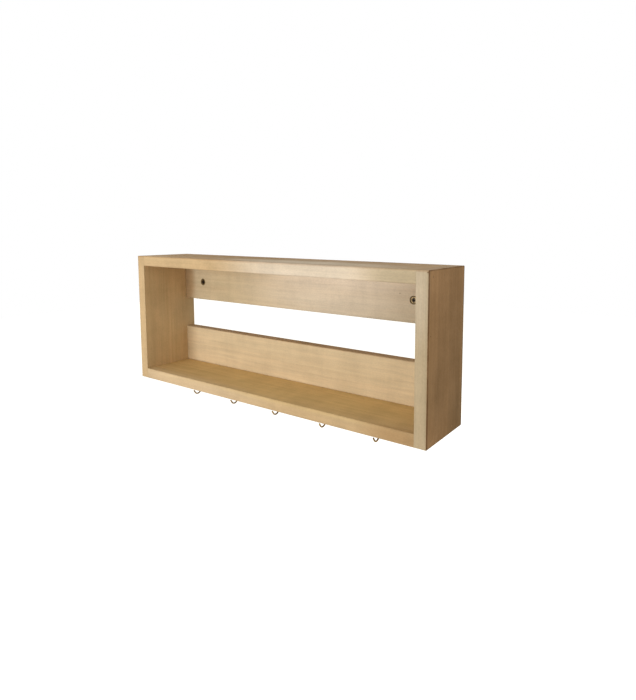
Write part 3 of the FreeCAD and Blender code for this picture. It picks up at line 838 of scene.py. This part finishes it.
def seat(piece, node):
    """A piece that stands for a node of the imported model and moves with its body."""
    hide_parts(node)
    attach(piece, BODY)


# Lamps and camera


def aim(right, up, back, place):
    """The matrix of a lamp or camera, from its three directions and its place."""
    return Matrix([[right[k], up[k], back[k], place[k]] for k in range(3)] + [[0, 0, 0, 1]])


def hang_lamp(lamp, stage):
    """A soft lamp that faces the shelf's middle."""
    light = bpy.data.lights.new(lamp.name, "AREA")
    light.shape = "RECTANGLE"
    light.size, light.size_y = lamp.size
    light.energy = getattr(stage, lamp.power)
    light.color = getattr(stage, lamp.colour)
    back = np.array(lamp.towards) / np.linalg.norm(lamp.towards)
    right = np.cross([0.0, 0.0, 1.0], back)
    right /= np.linalg.norm(right)
    place = SHELF_MIDDLE + back * lamp.distance
    add_object(lamp.name, light).matrix_world = aim(right, np.cross(back, right), back, place)


# Operators


class KEYHOLDER_OT_boards(bpy.types.Operator):
    """Gives the six boards and rails their washed wood, each from its own part of the log"""

    bl_idname = "keyholder.boards"
    bl_label = "Dress the boards"

    def execute(self, context):
        wood = context.scene.key_holder.wood
        groups = shared_groups()
        for board in BOARDS:
            dress(board.node, wood_material(board, wood, groups))
        return {"FINISHED"}


class KEYHOLDER_OT_nails(bpy.types.Operator):
    """Gives the finishing nails their steel and the plugs over them their wood filler"""

    bl_idname = "keyholder.nails"
    bl_label = "Dress the nails"

    def execute(self, context):
        wood = context.scene.key_holder.wood
        groups = shared_groups()
        filler = filler_material(wood, groups)
        steel = metal_material("Nail steel", wood.steel, wood.dull_steel, 0.4, (0.3, 0.5), groups)
        for node in FILLERS:
            dress(node, filler)
        for node in NAILS:
            dress(node, steel)
        return {"FINISHED"}


class KEYHOLDER_OT_hooks(bpy.types.Operator):
    """Makes the row of brass cup hooks with their collars and wood threads"""

    bl_idname = "keyholder.hooks"
    bl_label = "Make the cup hooks"

    def execute(self, context):
        hook = context.scene.key_holder.hook
        brass = metal_material("Hook brass", hook.brass, hook.tarnish, hook.tarnish_share, (0.32, 0.52),
                               shared_groups())
        _, front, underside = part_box("bottom_board")[0]
        for node in HOOKS:
            points, faces = hook_surface(hook, centre(node)[0], front + hook.from_front, underside)
            seat(surface_piece(f"{node}_brass", points, faces, brass), node)
        return {"FINISHED"}


class KEYHOLDER_OT_screws(bpy.types.Operator):
    """Makes the two wall screws with their cross recesses and threads"""

    bl_idname = "keyholder.screws"
    bl_label = "Make the wall screws"

    def execute(self, context):
        screw = context.scene.key_holder.screw
        bronzed = screw_material(screw, shared_groups())
        for node in SCREWS:
            x, _, z = centre(node)
            points, faces, polish = screw_surface(screw, x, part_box(node)[0][1], z)
            piece = surface_piece(f"{node}_bronzed", points, faces, bronzed)
            piece.data.attributes.new("polish", "FLOAT", "POINT").data.foreach_set("value", polish)
            seat(piece, node)
        return {"FINISHED"}


class KEYHOLDER_OT_stage(bpy.types.Operator):
    """Makes the pale floor, the soft light and the white backdrop"""

    bl_idname = "keyholder.stage"
    bl_label = "Make the stage"

    def execute(self, context):
        stage = context.scene.key_holder.stage
        world = bpy.data.worlds.new("Backdrop")
        context.scene.world = world
        tree = fresh_tree(world)
        room = put(tree, "ShaderNodeBackground", {
            "Color": opaque(stage.room_colour), "Strength": stage.room_level})
        white = put(tree, "ShaderNodeBackground", {"Color": (1, 1, 1, 1), "Strength": 1.0})
        mixed = put(tree, "ShaderNodeMixShader", {
            0: seen_directly(tree), 1: room.outputs[0], 2: white.outputs[0]})
        put(tree, "ShaderNodeOutputWorld", {"Surface": mixed.outputs[0]})

        bpy.ops.mesh.primitive_grid_add(
            x_subdivisions=2, y_subdivisions=2, size=stage.floor_size,
            location=(0, 0, CAD_BOX[0][2] - stage.floor_drop))
        floor = context.object
        floor.name = "floor"
        floor.data.materials.append(floor_material(stage))

        for lamp in LAMPS:
            hang_lamp(lamp, stage)
        context.scene.view_settings.view_transform = "Standard"
        return {"FINISHED"}


class KEYHOLDER_OT_camera(bpy.types.Operator):
    """Sets the camera to the right of the shelf, level with its top"""

    bl_idname = "keyholder.camera"
    bl_label = "Set the camera"

    def execute(self, context):
        yaw, pitch, roll = (math.radians(angle) for angle in CAMERA_ANGLES)
        level = np.array([math.cos(yaw), math.sin(yaw), 0.0])
        ahead = np.array([
            -math.sin(yaw) * math.cos(pitch), math.cos(yaw) * math.cos(pitch), -math.sin(pitch)])
        upright = np.cross(level, ahead)
        right = math.cos(roll) * level + math.sin(roll) * upright
        up = math.cos(roll) * upright - math.sin(roll) * level
        width, height = PICTURE
        lens = bpy.data.cameras.new("Camera")
        lens.sensor_width = SENSOR
        lens.lens = FOCAL_LENGTH / height * SENSOR
        lens.shift_x = (width / 2 - LOOK_AT[0]) / height
        lens.shift_y = (LOOK_AT[1] - height / 2) / height
        lens.clip_start = 10 * MM
        camera = add_object("Camera", lens)
        camera.matrix_world = aim(right, up, -ahead, CAMERA_PLACE)
        context.scene.camera = camera
        return {"FINISHED"}


class KEYHOLDER_PT_panel(bpy.types.Panel):
    """Lists the key holder's steps and settings"""

    bl_idname = "KEYHOLDER_PT_panel"
    bl_label = "Wall key holder"
    bl_space_type = "VIEW_3D"
    bl_region_type = "UI"
    bl_category = "Key holder"

    def draw(self, context):
        settings = context.scene.key_holder
        for operator in OPERATORS:
            self.layout.operator(operator.bl_idname)
        for group in (settings.wood, settings.hook, settings.screw, settings.stage):
            box = self.layout.box()
            for name in group.__annotations__:
                box.prop(group, name)


OPERATORS = (KEYHOLDER_OT_boards, KEYHOLDER_OT_nails, KEYHOLDER_OT_hooks, KEYHOLDER_OT_screws,
             KEYHOLDER_OT_stage, KEYHOLDER_OT_camera)
CLASSES = (KEYHOLDER_PG_wood, KEYHOLDER_PG_hook, KEYHOLDER_PG_screw, KEYHOLDER_PG_stage,
           KEYHOLDER_PG_settings, *OPERATORS, KEYHOLDER_PT_panel)


def register():
    """Adds the classes and the settings."""
    for item in CLASSES:
        bpy.utils.register_class(item)
    bpy.types.Scene.key_holder = bpy.props.PointerProperty(type=KEYHOLDER_PG_settings)


def unregister():
    """Takes the settings and the classes away."""
    del bpy.types.Scene.key_holder
    for item in reversed(CLASSES):
        bpy.utils.unregister_class(item)


def main():
    """Builds everything in order."""
    register()
    bpy.ops.keyholder.boards()
    bpy.ops.keyholder.nails()
    bpy.ops.keyholder.hooks()
    bpy.ops.keyholder.screws()
    bpy.ops.keyholder.stage()
    bpy.ops.keyholder.camera()


if __name__ == "__main__":
    main()
